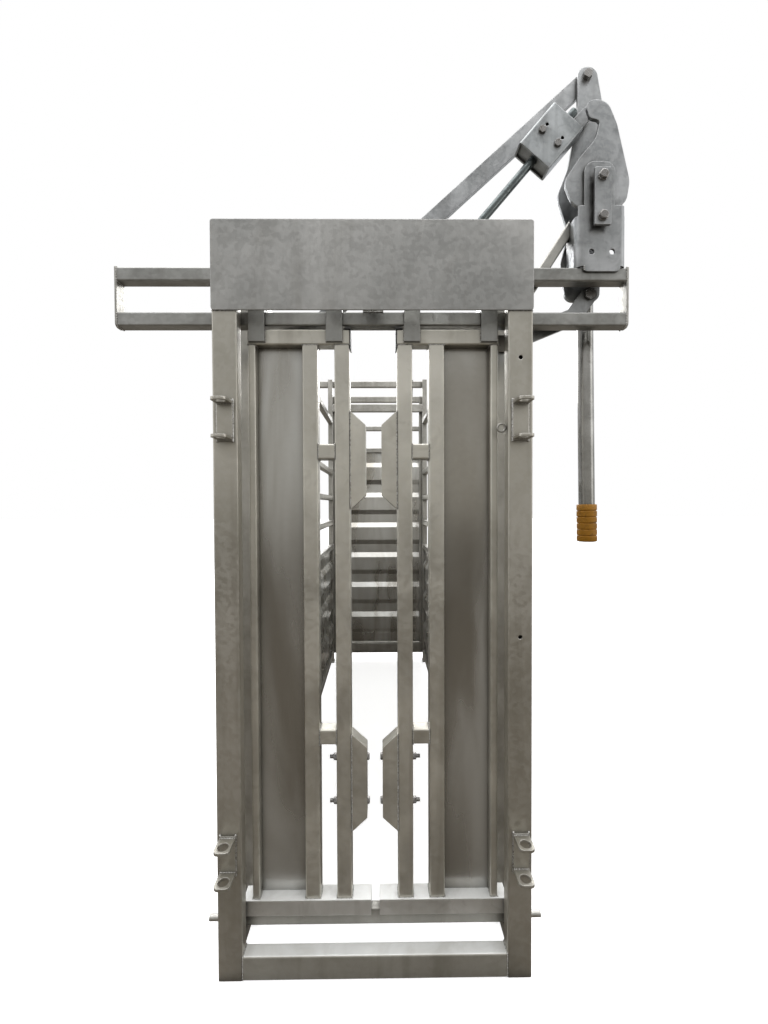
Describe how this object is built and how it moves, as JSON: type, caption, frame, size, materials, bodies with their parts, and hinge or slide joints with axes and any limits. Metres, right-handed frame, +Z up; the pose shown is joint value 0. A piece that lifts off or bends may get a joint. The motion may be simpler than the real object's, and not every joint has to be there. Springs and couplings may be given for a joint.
{
  "type": "cattle squeeze chute",
  "caption": "Galvanised cattle crush: sliding neck-yoke leaves worked by an overhead lever and rod lock, a barred race and a sliding rear door.",
  "frame": {"origin": "middle of the front sill's underside, on the floor", "axes": "+X right as seen from the front, +Y back along the race, +Z up"},
  "size_m": [2.0816, 2.67, 2.707],
  "materials": {
    "galvanised_tube": "hot-dip galvanised, satin, mottled",
    "galvanised_sheet": "hot-dip galvanised sheet, satin",
    "lever_plate": "hot-dip galvanised plate, satin",
    "zinc_plated": "bright zinc plated",
    "grip": "ribbed ochre yellow rubber"
  },
  "bodies": {
    "frame": {"left_post": "galvanised_tube", "right_post": "galvanised_tube", "front_sill": "galvanised_tube", "header_plate": "galvanised_sheet", "upper_wing_tube": "galvanised_tube", "hanging_rail": "galvanised_tube", "wing_end_plates": "galvanised_tube", "rail_blocks": "galvanised_tube", "bottom_guide_rail": "galvanised_tube", "left_gate_lugs": "galvanised_tube", "right_gate_lugs": "galvanised_tube", "tie_ring": "zinc_plated", "lever_bracket": "lever_plate", "bracket_strap": "lever_plate", "strap_fasteners": "zinc_plated", "pivot_bolt": "zinc_plated", "bracket_brace": "galvanised_tube", "rod_anchor": "lever_plate", "race_posts": "galvanised_tube", "rear_posts": "galvanised_tube", "race_feet": "galvanised_tube", "race_side_rails": "galvanised_tube", "race_side_sheets": "galvanised_sheet", "top_stringers": "galvanised_tube", "cross_ties": "galvanised_tube", "door_track": "galvanised_tube", "door_bottom_guide": "galvanised_tube", "track_end_post": "galvanised_tube", "track_spacers": "galvanised_tube"},
    "left_leaf": {"left_leaf_frame": "galvanised_tube", "left_leaf_sheet": "galvanised_sheet", "left_leaf_shoe": "galvanised_tube", "left_leaf_hooks": "galvanised_tube", "left_neck_pads": "galvanised_tube", "left_pad_bolts": "zinc_plated", "left_leaf_pin": "galvanised_tube"},
    "right_leaf": {"right_leaf_frame": "galvanised_tube", "right_leaf_sheet": "galvanised_sheet", "right_leaf_shoe": "galvanised_tube", "right_leaf_hooks": "galvanised_tube", "right_neck_pads": "galvanised_tube", "right_pad_bolts": "zinc_plated", "right_leaf_pin": "galvanised_tube"},
    "lever": {"lever_front_plate": "lever_plate", "lever_rear_plate": "lever_plate", "lever_spacers": "lever_plate", "lever_pins": "zinc_plated", "handle_tube": "lever_plate", "handle_grip": "grip"},
    "left_link": {"left_link_bar": "lever_plate"},
    "right_link": {"right_link_bar": "lever_plate"},
    "lock_rod": {"lock_rod": "zinc_plated"},
    "lock_box": {"lock_casing": "lever_plate", "lock_bolts": "zinc_plated", "lock_end_plates": "zinc_plated", "lock_jaws": "zinc_plated", "lock_lug": "lever_plate"},
    "rear_door": {"door_frame": "galvanised_tube", "door_sheet": "galvanised_sheet", "door_hangers": "galvanised_tube"}
  },
  "joints": [
    {"name": "lever_pivot", "type": "hinge", "parent": "frame", "child": "lever", "pos_m": [0.661, 0.079, 2.303], "axis": [0, -1, 0], "range_deg": [-1.5, 46]},
    {"name": "left_leaf_slide", "type": "slide", "parent": "frame", "child": "left_leaf", "axis": [-1, 0, 0], "range_m": [-0.01202, 0.36267]},
    {"name": "right_leaf_slide", "type": "slide", "parent": "frame", "child": "right_leaf", "axis": [1, 0, 0], "range_m": [-0.00985, 0.29602]},
    {"name": "left_link_pivot", "type": "hinge", "parent": "lever", "child": "left_link", "pos_m": [0.66, 0.13, 2.679], "axis": [0, -1, 0], "range_deg": [-52.92, 1.77]},
    {"name": "right_link_pivot", "type": "hinge", "parent": "lever", "child": "right_link", "pos_m": [0.664, 0.102, 2.005], "axis": [0, -1, 0], "range_deg": [-22.84, 0.79]},
    {"name": "lock_rod_pivot", "type": "hinge", "parent": "frame", "child": "lock_rod", "pos_m": [0.22, 0.079, 2.092], "axis": [0, -1, 0], "range_deg": [-0.35, 9.16]},
    {"name": "lock_box_slide", "type": "slide", "parent": "lock_rod", "child": "lock_box", "axis": [-0.6513, 0, -0.7588], "range_m": [-0.00577, 0.17094]},
    {"name": "rear_door_slide", "type": "slide", "parent": "frame", "child": "rear_door", "axis": [-1, 0, 0], "range_m": [0, 0.78]}
  ],
  "couplings": [
    {"joint": "left_leaf_slide", "follows": "lever_pivot", "m_per_rad": 0.45148},
    {"joint": "right_leaf_slide", "follows": "lever_pivot", "m_per_rad": 0.36846},
    {"joint": "left_link_pivot", "follows": "lever_pivot", "ratio": -1.1494},
    {"joint": "right_link_pivot", "follows": "lever_pivot", "ratio": -0.49547},
    {"joint": "lock_rod_pivot", "follows": "lever_pivot", "ratio": 0.19811},
    {"joint": "lock_box_slide", "follows": "lever_pivot", "m_per_rad": 0.21266}
  ]
}
